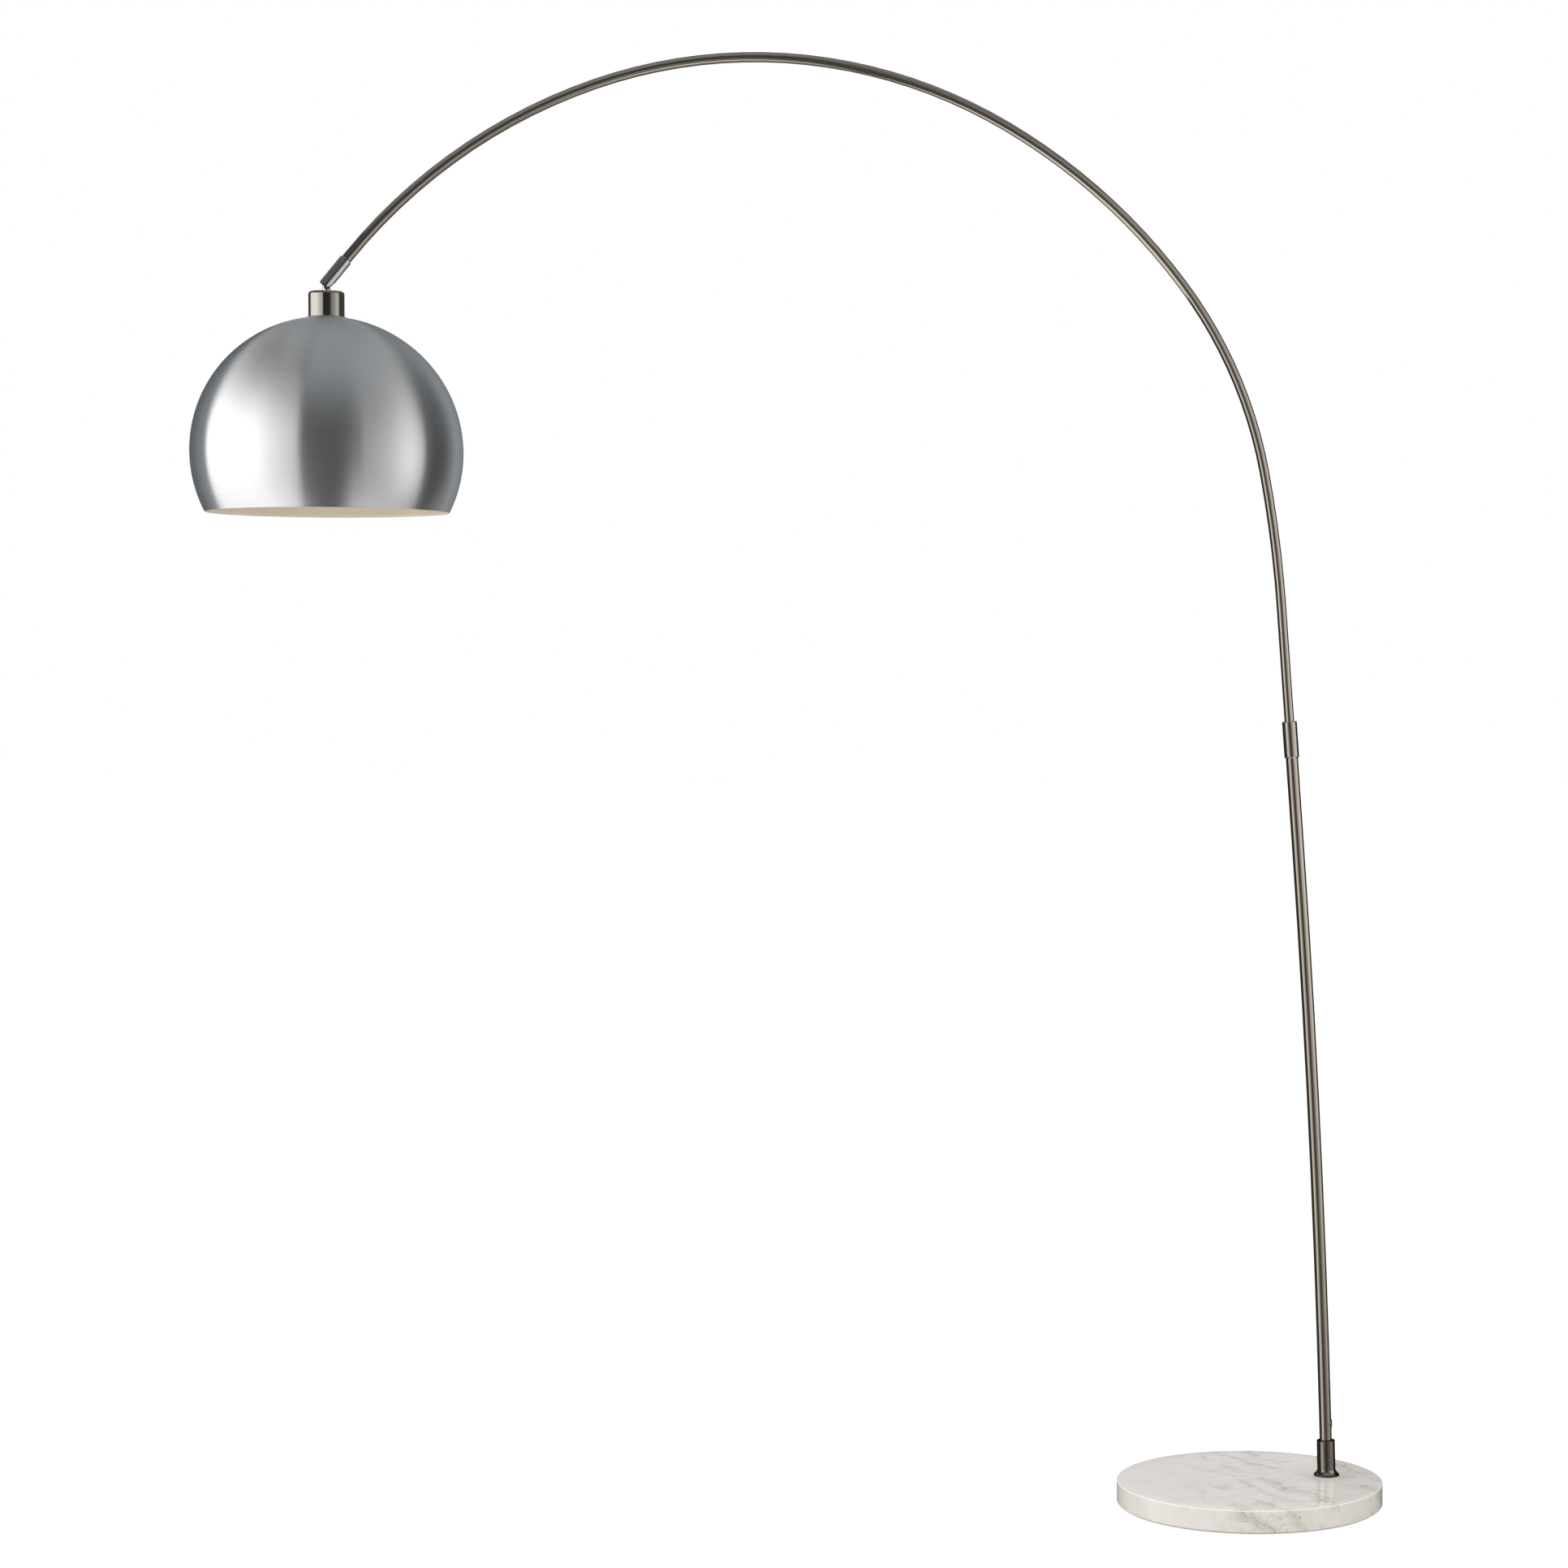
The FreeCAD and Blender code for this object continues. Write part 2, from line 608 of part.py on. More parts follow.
PARTS = [
    base_slab, base_pad, base_stud, stud_washer, stud_lock_washer, stud_nut, foot_gasket,
    foot_flange, base_collar, collar_screw, pole_plug, lower_pole, cord_outlet, pole_ferrule,
    collet, lock_collar, arc_tube, arm_bush, swivel_ring, swivel_washer, swivel_nut, swivel_sleeve,
    pivot_pin, head_stem, stem_nut, socket_cup, lampholder_cap, lampholder_body, lampholder_shell,
    lampholder_contact, terminal_screws, shade, shade_ring, bulb_glass, bulb_cap, bulb_contact,
]

os.makedirs("parts", exist_ok=True)
for make in PARTS:
    solid = make()
    if not solid.isValid():
        raise ValueError(make.__name__ + " is not a valid solid")
    solid.exportStep("parts/" + make.__name__ + ".step")

print("leg start", LEG, "lean", LEG_LEAN)
print("head pivot", HEAD, "sleeve angle", SLEEVE_UP)
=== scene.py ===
"""Looks of the arc floor lamp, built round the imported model. Metres, +Z up, the arc reaches towards -X."""
import json
import math

import bmesh
import bpy
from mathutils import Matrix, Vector


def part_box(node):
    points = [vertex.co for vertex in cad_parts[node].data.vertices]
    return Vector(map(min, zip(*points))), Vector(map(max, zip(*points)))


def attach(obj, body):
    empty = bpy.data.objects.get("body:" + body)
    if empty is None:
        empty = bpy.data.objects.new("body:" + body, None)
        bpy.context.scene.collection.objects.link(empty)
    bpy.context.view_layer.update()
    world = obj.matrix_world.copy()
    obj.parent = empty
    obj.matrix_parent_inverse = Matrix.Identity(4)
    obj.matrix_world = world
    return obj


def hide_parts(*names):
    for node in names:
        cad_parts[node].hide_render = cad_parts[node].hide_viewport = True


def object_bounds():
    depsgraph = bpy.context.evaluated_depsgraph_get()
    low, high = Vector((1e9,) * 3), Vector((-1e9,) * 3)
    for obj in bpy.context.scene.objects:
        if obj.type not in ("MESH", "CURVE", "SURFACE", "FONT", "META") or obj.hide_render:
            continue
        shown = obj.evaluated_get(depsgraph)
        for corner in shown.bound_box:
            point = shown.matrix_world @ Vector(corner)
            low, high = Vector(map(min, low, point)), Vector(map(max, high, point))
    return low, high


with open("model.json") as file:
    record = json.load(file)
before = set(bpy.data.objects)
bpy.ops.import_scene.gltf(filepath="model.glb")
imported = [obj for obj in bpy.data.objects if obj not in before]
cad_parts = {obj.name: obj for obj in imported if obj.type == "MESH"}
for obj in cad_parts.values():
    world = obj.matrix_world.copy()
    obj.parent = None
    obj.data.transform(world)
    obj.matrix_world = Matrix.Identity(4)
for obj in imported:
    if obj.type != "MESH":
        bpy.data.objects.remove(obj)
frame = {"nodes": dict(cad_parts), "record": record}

CAD_LOW, CAD_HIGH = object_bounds()
NODES = frame["nodes"]

# ---- camera -------------------------------------------------------------------------------------
CAMERA_YAW = math.radians(14.5)         # the camera looks along +Y, turned this much towards +X
CAMERA_PITCH = math.radians(1.8)        # and this much downwards
CAMERA_OFFSET = (0.2238, 0.0159, 4.4313)  # right, up and back from the middle of the lamp
CAMERA_LENS = 81.19
CAMERA_SHIFT = -0.13

RIGHT = Vector((math.cos(CAMERA_YAW), -math.sin(CAMERA_YAW), 0))
AHEAD = Vector((math.sin(CAMERA_YAW) * math.cos(CAMERA_PITCH),
                math.cos(CAMERA_YAW) * math.cos(CAMERA_PITCH), -math.sin(CAMERA_PITCH)))


def make_camera():
    data = bpy.data.cameras.new("camera")
    data.lens = CAMERA_LENS
    data.sensor_width = 36
    data.shift_x = CAMERA_SHIFT
    data.clip_end = 60
    camera = bpy.data.objects.new("camera", data)
    right, up, back = CAMERA_OFFSET
    middle = (CAD_LOW + CAD_HIGH) / 2
    camera.location = middle + RIGHT * right + RIGHT.cross(AHEAD) * up - AHEAD * back
    camera.rotation_mode = "QUATERNION"
    camera.rotation_quaternion = AHEAD.to_track_quat("-Z", "Y")
    bpy.context.scene.collection.objects.link(camera)
    bpy.context.scene.camera = camera


# ---- node trees ---------------------------------------------------------------------------------
class Tree:
    """Builds a node tree: each method adds a node and returns its output socket."""

    def __init__(self, tree):
        self.tree = tree
        tree.nodes.clear()

    def node(self, kind, inputs=None, **settings):
        node = self.tree.nodes.new(kind)
        for key, value in settings.items():
            setattr(node, key, value)
        for key, value in (inputs or {}).items():
            socket = node.inputs[key]
            if isinstance(value, bpy.types.NodeSocket):
                self.tree.links.new(value, socket)
            else:
                socket.default_value = value
        return node

    def math(self, operation, *values, clamp=False):
        return self.node("ShaderNodeMath", dict(enumerate(values)), operation=operation,
                         use_clamp=clamp).outputs[0]

    def dot(self, vector, direction):
        return self.node("ShaderNodeVectorMath", {0: vector, 1: direction},
                         operation="DOT_PRODUCT").outputs["Value"]

    def scaled(self, vector, scale, rotation=(0, 0, 0)):
        return self.node("ShaderNodeMapping", {"Vector": vector, "Scale": scale,
                                               "Rotation": rotation}).outputs[0]

    def noise(self, vector, scale, detail=3.0, roughness=0.55, distortion=0.0, color=False):
        node = self.node("ShaderNodeTexNoise", {"Vector": vector, "Scale": scale, "Detail": detail,
                                                "Roughness": roughness, "Distortion": distortion})
        return node.outputs["Color" if color else "Fac"]

    def ramp(self, factor, stops, ease="LINEAR"):
        node = self.node("ShaderNodeValToRGB", {"Fac": factor})
        node.color_ramp.interpolation = ease
        elements = node.color_ramp.elements
        while len(elements) < len(stops):
            elements.new(0.5)
        for element, (place, value) in zip(elements, stops):
            element.position = place
            color = value if isinstance(value, tuple) else (value, value, value)
            element.color = (*color, 1)
        return node.outputs["Color"]

    def mix(self, factor, a, b, blend="MIX"):
        node = self.node("ShaderNodeMix", data_type="RGBA", blend_type=blend)
        for index, value in ((0, factor), (6, a), (7, b)):
            if isinstance(value, bpy.types.NodeSocket):
                self.tree.links.new(value, node.inputs[index])
            else:
                node.inputs[index].default_value = value
        return node.outputs[2]

    def span(self, value, low, high, to_low=0.0, to_high=1.0):
        return self.node("ShaderNodeMapRange", {"Value": value, "From Min": low, "From Max": high,
                                                "To Min": to_low, "To Max": to_high}).outputs[0]

    def double(self, color):
        return self.mix(1.0, color, color, "ADD")

    def mix_shader(self, factor, a, b):
        return self.node("ShaderNodeMixShader", {0: factor, 1: a, 2: b}).outputs[0]

    def bump(self, height, strength, distance, normal=None):
        inputs = {"Height": height, "Strength": strength, "Distance": distance}
        if normal is not None:
            inputs["Normal"] = normal
        return self.node("ShaderNodeBump", inputs).outputs[0]

    def coordinates(self, output="Object"):
        return self.node("ShaderNodeTexCoord").outputs[output]

    def principled(self, inputs):
        shader = self.node("ShaderNodeBsdfPrincipled", inputs)
        output = self.node("ShaderNodeOutputMaterial")
        self.tree.links.new(shader.outputs[0], output.inputs[0])
        return shader


def new_material(name):
    material = bpy.data.materials.new(name)
    material.use_nodes = True
    return material, Tree(material.node_tree)


def shade_of(color, factor):
    return tuple(min(1.0, c * factor) for c in color[:3]) + (1,)


# ---- studio -------------------------------------------------------------------------------------
# Directions round the lamp are in degrees from the viewer's side towards the right.
# The room that polished surfaces reflect: (direction, radiance).
ROOM = [(-180, 0.22), (-160, 0.16), (-142, 0.17), (-125, 0.25), (-105, 0.25), (-60, 0.14), (-20, 0.12),
        (-5, 0.105), (10, 0.09), (24, 0.085), (36, 0.12), (70, 0.16), (100, 0.13), (115, 0.10),
        (133, 0.11), (152, 0.36), (180, 0.26)]
CEILING = 0.36
# What they reflect from below: the pale floor, lit by the soft boxes.
GROUND = [(-180, 0.25), (-130, 0.30), (-112, 0.90), (-60, 1.40), (-32, 1.10), (-15, 0.13), (24, 0.10),
          (34, 0.30), (44, 0.75), (62, 1.15), (88, 0.95), (104, 0.30), (150, 0.30), (180, 0.25)]
ROOM_TINT = (0.95, 1.0, 1.04, 1)
# Two curved soft boxes stand round the shade's axis. Across: (part of the width, radiance), from the
# outer edge of the left one and the inner edge of the right one. Upwards: (part of the height, factor).
LEFT_BOX = {"span": (-109, -13), "reach": 3.5, "heights": (-1.8, 4.0),
            "across": [(0.0, 1.7), (0.48, 1.7), (0.61, 1.6), (0.69, 1.35), (0.78, 1.15), (0.85, 1.02),
                       (0.92, 0.90), (1.0, 0.75)],
            "rise": [(0.0, 0.60), (0.41, 0.70), (0.48, 0.85), (0.56, 1.0), (0.79, 1.0), (0.93, 0.3),
                     (1.0, 0.2)]}
RIGHT_BOX = {"span": (39, 99), "reach": 3.0, "heights": (-1.6, 3.4),
             "across": [(0.0, 0.34), (0.2, 0.42), (0.45, 0.62), (0.65, 0.88), (0.8, 0.92), (0.9, 0.75),
                        (1.0, 0.55)],
             "rise": [(0.0, 0.5), (0.25, 0.52), (0.36, 0.95), (0.46, 1.3), (0.63, 1.15), (0.84, 0.66),
                      (1.0, 0.60)]}
# Small dark cards by the pole and the head keep polished edges dark.
# (part, (direction, distance) of each point, (lowest z, highest z), radiance)
CARDS = [("lower_pole", ((-74, 0.30), (-130, 0.42)), (-0.20, 1.45), 0.06),
         ("lower_pole", ((112, 0.26), (172, 0.26)), (-0.20, 1.45), 0.03),
         ("swivel_sleeve", ((-12, 0.26), (-60, 0.30), (-105, 0.30)), (1.63, 1.98), 0.10),
         ("swivel_sleeve", ((-8, 0.50), (10, 0.50), (28, 0.50)), (1.44, 1.66), 0.045)]
CARD_STEPS = 32                          # flat strips in each curved soft box
# The even light on matt surfaces, and how it leans to the left, to the front and to the top.
MATTE_LIGHT = 0.86
MATTE_SIDE = 0.28
MATTE_FRONT = 0.11
MATTE_TOP = 0.37


def flat_front():
    front = -AHEAD.copy()
    front.z = 0
    return front.normalized()


def bearing(angle):
    """Horizontal unit vector at a direction round the lamp."""
    return RIGHT * math.sin(math.radians(angle)) + flat_front() * math.cos(math.radians(angle))


def by_angle(tree, place, table):
    """Value from a (direction, value) table; place runs from 0 at -180 degrees to 1 at 180 degrees."""
    return tree.ramp(place, [(angle / 360 + 0.5, value) for angle, value in table])


def half(table):
    """A colour ramp holds no more than 1, so brighter tables are halved and doubled after it."""
    return [(place, value / 2) for place, value in table]


def make_world():
    world = bpy.data.worlds.new("studio")
    world.use_nodes = True
    bpy.context.scene.world = world
    world.cycles.sampling_method = "NONE"
    tree = Tree(world.node_tree)
    direction = tree.coordinates("Generated")
    across = tree.dot(direction, RIGHT)
    toward = tree.dot(direction, flat_front())
    height = tree.dot(direction, (0, 0, 1))
    around = tree.span(tree.math("ARCTAN2", across, toward), -math.pi, math.pi)
    room = by_angle(tree, around, ROOM)
    away = tree.node("ShaderNodeMapRange", {"Value": height, "From Min": 0.45, "From Max": 0.90},
                     interpolation_type="SMOOTHSTEP")
    polished = tree.mix(away.outputs[0], room, (CEILING, CEILING, CEILING, 1))
    polished = tree.mix(1.0, polished, ROOM_TINT, "MULTIPLY")
    down = tree.node("ShaderNodeMapRange", {"Value": height, "From Min": -0.16, "From Max": -0.50},
                     interpolation_type="SMOOTHSTEP")
    ground = tree.double(by_angle(tree, around, half(GROUND)))
    polished = tree.mix(down.outputs[0], polished, ground)
    lean = tree.math("MULTIPLY_ADD", across, -MATTE_SIDE, MATTE_LIGHT)
    facing = tree.math("MULTIPLY", tree.math("ADD", toward, height), math.sqrt(0.5))
    matte = tree.math("MULTIPLY_ADD", tree.math("MAXIMUM", facing, 0.0), MATTE_FRONT, lean)
    matte = tree.math("MULTIPLY_ADD", tree.math("MAXIMUM", height, 0.0), MATTE_TOP, matte)
    paths = tree.node("ShaderNodeLightPath")
    light = tree.mix(paths.outputs["Is Glossy Ray"], matte, polished)
    light = tree.mix(paths.outputs["Is Camera Ray"], light, (1, 1, 1, 1))
    background = tree.node("ShaderNodeBackground", {"Color": light, "Strength": 1.0})
    output = tree.node("ShaderNodeOutputWorld")
    tree.tree.links.new(background.outputs[0], output.inputs[0])


def make_card(name, ends, low, high, across=None, rise=None, glow=0.0):
    """A vertical card through the ends, seen by polished surfaces only.

    It glows by the tables across and rise, or evenly by glow.
    """
    mesh = bpy.data.meshes.new(name)
    shape = bmesh.new()
    layer = shape.loops.layers.uv.new("UVMap")
    columns = [[shape.verts.new((point.x, point.y, z)) for z in (low, high)] for point in ends]
    steps = len(ends) - 1
    for index in range(steps):
        left, right = columns[index], columns[index + 1]
        face = shape.faces.new((left[0], right[0], right[1], left[1]))
        spots = ((index, 0), (index + 1, 0), (index + 1, 1), (index, 1))
        for loop, (column, row) in zip(face.loops, spots):
            loop[layer].uv = (column / steps, row)
    shape.to_mesh(mesh)
    shape.free()
    material, tree = new_material(name)
    if across:
        place = tree.node("ShaderNodeSeparateXYZ", {0: tree.coordinates("UV")})
        color = tree.mix(1.0, tree.double(tree.ramp(place.outputs[0], half(across))),
                         tree.double(tree.ramp(place.outputs[1], half(rise))), "MULTIPLY")
    else:
        color = tree.mix(tree.noise(tree.coordinates(), 8.0), (glow * 0.9,) * 3 + (1,),
                         (glow * 1.1,) * 3 + (1,))
    emission = tree.node("ShaderNodeEmission", {"Color": color, "Strength": 1.0})
    output = tree.node("ShaderNodeOutputMaterial")
    tree.tree.links.new(emission.outputs[0], output.inputs[0])
    material.cycles.emission_sampling = "NONE"
    mesh.materials.append(material)
    card = bpy.data.objects.new(name, mesh)
    bpy.context.scene.collection.objects.link(card)
    card.visible_camera = False
    card.visible_diffuse = False
    card.visible_shadow = False
    card.visible_transmission = False


def middle_of(part):
    low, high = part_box(part)
    return (low + high) / 2


def make_cards():
    for name, box in (("left_soft_box", LEFT_BOX), ("right_soft_box", RIGHT_BOX)):
        first, last = box["span"]
        directions = [first + (last - first) * index / CARD_STEPS for index in range(CARD_STEPS + 1)]
        ends = [middle_of("shade") + bearing(angle) * box["reach"] for angle in directions]
        make_card(name, ends, *box["heights"], across=box["across"], rise=box["rise"])
    for index, (part, ends, heights, glow) in enumerate(CARDS):
        points = [middle_of(part) + bearing(angle) * reach for angle, reach in ends]
        make_card("small_card_%d" % index, points, *heights, glow=glow)


FLOOR_GAP = 0.0005                       # keeps the floor just clear of the felt


def make_floor():
    """Pale floor, lit evenly: seen from above by the camera, and not at all by polished surfaces."""
    mesh = bpy.data.meshes.new("floor")
    shape = bmesh.new()
    bmesh.ops.create_circle(shape, cap_ends=True, segments=96, radius=30)
    shape.to_mesh(mesh)
    shape.free()
    floor = bpy.data.objects.new("floor", mesh)
    floor.location.z = -FLOOR_GAP
    bpy.context.scene.collection.objects.link(floor)
    material, tree = new_material("floor")
    grain = tree.noise(tree.coordinates(), 40.0)
    paint = tree.mix(grain, (0.25, 0.25, 0.25, 1), (0.27, 0.27, 0.27, 1))
    matte = tree.node("ShaderNodeBsdfDiffuse", {"Color": paint}).outputs[0]
    glow = tree.node("ShaderNodeEmission", {"Color": (1, 1, 1, 1), "Strength": 0.80}).outputs[0]
    seen = tree.node("ShaderNodeAddShader", {0: matte, 1: glow}).outputs[0]
    across = tree.span(tree.dot(tree.coordinates(), RIGHT), -2.6, 0.4)
    pale = tree.mix(across, (1.06, 1.045, 1.02, 1), (0.76, 0.745, 0.72, 1))
    bounce = tree.node("ShaderNodeEmission", {"Color": pale}).outputs[0]
    clear = tree.node("ShaderNodeBsdfTransparent").outputs[0]
    paths = tree.node("ShaderNodeLightPath")
    surface = tree.mix_shader(paths.outputs["Is Camera Ray"], bounce, seen)
    surface = tree.mix_shader(paths.outputs["Is Glossy Ray"], surface, clear)
    below = tree.node("ShaderNodeNewGeometry").outputs["Backfacing"]
    surface = tree.mix_shader(below, surface, clear)
    output = tree.node("ShaderNodeOutputMaterial")
    tree.tree.links.new(surface, output.inputs[0])
    material.cycles.emission_sampling = "NONE"
    mesh.materials.append(material)


# ---- materials ----------------------------------------------------------------------------------
VEIN_SHEETS = (0.728, 0.227, 0.648)      # normal of the sheets of veins in the marble
VEIN_PATCHES = (2.2, -1.0, 0.9)          # moves the veined areas about in the slab
SLAB_R = (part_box("base_slab")[1].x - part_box("base_slab")[0].x) / 2
SLAB_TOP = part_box("base_slab")[1].z


def polished_metal(name, color, roughness, streak=(70, 70, 70), grain=0.02, edge=(0.3, 0.3, 0.3)):
    """Plated or polished metal: cloudy polish, fine marks and darker grazing edges."""
    material, tree = new_material(name)
    place = tree.coordinates()
    marks = tree.noise(tree.scaled(place, streak), 9.0, detail=5.0, roughness=0.7)
    cloud = tree.noise(place, 22.0, detail=4.0)
    tone = tree.mix(cloud, shade_of(color, 0.95), shade_of(color, 1.05))
    rough = tree.math("ADD", tree.span(cloud, 0.3, 0.7, roughness * 0.88, roughness * 1.12),
                      tree.span(marks, 0.3, 0.7, -0.12 * roughness, 0.12 * roughness))
    tree.principled({
        "Base Color": tone,
        "Metallic": 1.0,
        "Roughness": rough,
        "Specular Tint": (*edge, 1),
        "Normal": tree.bump(marks, grain, 0.0002),
    })
    return material


def spun_aluminium():
    """Brushed round the axis: fine grooves along the turning, a soft vertical spread of highlights."""
    material, tree = new_material("spun_aluminium")
    turning = tree.coordinates("UV")
    fine = tree.noise(tree.scaled(turning, (14.0, 1900.0, 1.0)), 1.0, detail=3.0, roughness=0.8)
    broad = tree.noise(tree.scaled(turning, (5.0, 300.0, 1.0)), 1.0, detail=4.0, roughness=0.7)
    cloud = tree.noise(tree.coordinates(), 14.0, detail=3.0)
    specks = tree.noise(tree.coordinates(), 420.0, detail=1.0)
    marks = tree.span(specks, 0.80, 0.86)
    tone = tree.mix(tree.span(broad, 0.3, 0.7), (0.870, 0.872, 0.868, 1), (0.915, 0.915, 0.910, 1))
    tone = tree.mix(tree.span(fine, 0.3, 0.7, 0.0, 0.30), tone, (0.84, 0.85, 0.86, 1), "MULTIPLY")
    tone = tree.mix(tree.math("MULTIPLY", marks, 0.20), tone, (0.55, 0.55, 0.55, 1))
    rough = tree.math("ADD", tree.span(broad, 0.3, 0.7, 0.285, 0.315),
                      tree.span(cloud, 0.3, 0.7, -0.01, 0.01))
    tangent = tree.node("ShaderNodeTangent", direction_type="RADIAL", axis="Z").outputs[0]
    tree.principled({
        "Base Color": tone,
        "Metallic": 1.0,
        "Roughness": rough,
        "Anisotropic": 1.0,
        "Anisotropic Rotation": 0.25,
        "Specular Tint": (0.75, 0.78, 0.80, 1),
        "Tangent": tangent,
        "Normal": tree.bump(fine, 0.03, 0.0002),
    })
    return material


def marble():
    """Pale marble: broken grey-brown veins in sheets that lean down to the right, with mottled clouds."""
    material, tree = new_material("marble")
    place = tree.coordinates()

    def shifted(vector, noise, amount):
        drift = tree.node("ShaderNodeVectorMath", {0: noise, 1: (0.5, 0.5, 0.5)}, operation="SUBTRACT")
        drift = tree.node("ShaderNodeVectorMath", {0: drift.outputs[0], 1: (amount,) * 3},
                          operation="MULTIPLY")
        return tree.node("ShaderNodeVectorMath", {0: vector, 1: drift.outputs[0]},
                         operation="ADD").outputs[0]

    bent = shifted(place, tree.noise(place, 8.0, detail=3.0, color=True), 0.085)
    bent = shifted(bent, tree.noise(place, 34.0, detail=4.0, roughness=0.6, color=True), 0.020)
    bent = shifted(bent, tree.noise(place, 190.0, detail=4.0, roughness=0.75, color=True), 0.0065)
    across = tree.dot(bent, VEIN_SHEETS)

    def fade(value, width):
        """1 at zero, falling smoothly to 0 at the width."""
        return tree.node("ShaderNodeMapRange", {"Value": value, "From Min": 0.0, "From Max": width,
                                                "To Min": 1.0, "To Max": 0.0},
                         interpolation_type="SMOOTHSTEP").outputs[0]

    def veins(spacing, offset, width):
        phase = tree.math("FRACT", tree.math("ADD", tree.math("DIVIDE", across, spacing), offset))
        return fade(tree.math("ABSOLUTE", tree.math("SUBTRACT", phase, 0.5)), width)

    def cracks(vector, scale, width):
        cells = tree.node("ShaderNodeTexVoronoi", {"Vector": vector, "Scale": scale},
                          feature="DISTANCE_TO_EDGE")
        return fade(cells.outputs["Distance"], width)

    # the left third of the slab is almost clean
    moved = tree.node("ShaderNodeMapping", {"Vector": place, "Location": VEIN_PATCHES}).outputs[0]
    side = tree.span(tree.dot(place, RIGHT), -0.085, -0.015, 0.10, 1.0)
    region = tree.math("MULTIPLY", side, tree.span(tree.noise(moved, 15.0, detail=4.0), 0.44, 0.56))
    broken = tree.span(tree.noise(place, 62.0, detail=4.0, roughness=0.7), 0.40, 0.58)
    patches = tree.math("MULTIPLY", region, tree.span(tree.noise(moved, 41.0, detail=3.0), 0.46, 0.58))
    line = tree.math("MULTIPLY", tree.math("MULTIPLY", veins(0.0340, 0.42, 0.020), broken),
                     tree.span(region, 0.0, 0.7, 0.10, 1.0))
    crack = tree.math("MULTIPLY", cracks(bent, 46.0, 0.045), patches)
    hair = tree.math("MULTIPLY", cracks(bent, 120.0, 0.07), patches)
    cloud = tree.math("MULTIPLY", veins(0.0340, 0.47, 0.36), region)
    speckle = tree.span(tree.noise(place, 420.0, detail=4.0, roughness=0.75), 0.44, 0.62)
    mottle = tree.noise(place, 48.0, detail=5.0, roughness=0.65)
    tone = tree.ramp(mottle, [(0.30, (0.745, 0.706, 0.660)), (0.5, (0.785, 0.748, 0.704)),
                              (0.70, (0.810, 0.775, 0.733))])
    tone = tree.mix(tree.math("MULTIPLY", cloud, 0.30), tone, (0.56, 0.515, 0.480, 1))
    tone = tree.mix(tree.math("MULTIPLY", tree.math("MULTIPLY", cloud, speckle), 0.45), tone,
                    (0.44, 0.395, 0.36, 1))
    tone = tree.mix(tree.math("MULTIPLY", hair, 0.30), tone, (0.42, 0.37, 0.33, 1))
    tone = tree.mix(tree.math("MULTIPLY", crack, 0.62), tone, (0.32, 0.275, 0.24, 1))
    tone = tree.mix(tree.math("MULTIPLY", line, 0.85), tone, (0.24, 0.20, 0.175, 1))
    # painted highlight: the base colour is made lighter on the top bevel, a bright line painted along the
    # edge
    flat = tree.node("ShaderNodeVectorMath", {0: place, 1: (1.0, 1.0, 0.0)}, operation="MULTIPLY")
    reach = tree.node("ShaderNodeVectorMath", {0: flat.outputs[0]}, operation="LENGTH")
    height = tree.dot(place, (0, 0, 1))
    rim = tree.math("MULTIPLY", tree.span(reach.outputs["Value"], SLAB_R - 0.0016, SLAB_R - 0.0012),
                    tree.span(height, SLAB_TOP - 0.0015, SLAB_TOP - 0.0012))
    tone = tree.mix(tree.math("MULTIPLY", rim, 0.45), tone, (0.97, 0.95, 0.92, 1))
    polish = tree.span(mottle, 0.3, 0.7, 0.04, 0.08)
    tree.principled({
        "Base Color": tone,
        "Roughness": polish,
        "IOR": 1.5,
        "Normal": tree.bump(line, 0.03, 0.0003),
    })
    return material


def soft_surface(name, color, roughness, scale=300.0, relief=0.05, variation=0.06, distance=0.0003,
                 **extra):
    """Paint, moulded plastic or rubber: slight colour drift, an uneven gloss and a fine skin."""
    material, tree = new_material(name)
    place = tree.coordinates()
    skin = tree.noise(place, scale, detail=3.0)
    drift = tree.noise(place, scale / 12.0, detail=3.0)
    tone = tree.mix(drift, shade_of(color, 1 - variation), shade_of(color, 1 + variation))
    inputs = {
        "Base Color": tone,
        "Roughness": tree.span(skin, 0.3, 0.7, roughness * 0.9, roughness * 1.1),
        "Normal": tree.bump(skin, relief, distance),
    }
    inputs.update(extra)
    tree.principled(inputs)
    return material


def felt():
    material, tree = new_material("felt")
    place = tree.coordinates()
    fibres = tree.noise(place, 900.0, detail=4.0, roughness=0.8, distortion=1.5)
    tufts = tree.noise(place, 90.0, detail=4.0)
    # pale grey rather than black: painted light that lifts the shaded line of felt under the slab's edge
    tone = tree.mix(fibres, (0.36, 0.35, 0.335, 1), (0.54, 0.53, 0.51, 1))
    tree.principled({
        "Base Color": tree.mix(tufts, tone, (0.45, 0.44, 0.42, 1)),
        "Roughness": 0.95,
        "Sheen Weight": 0.5,
        "Normal": tree.bump(fibres, 0.6, 0.0006),
    })
    return material


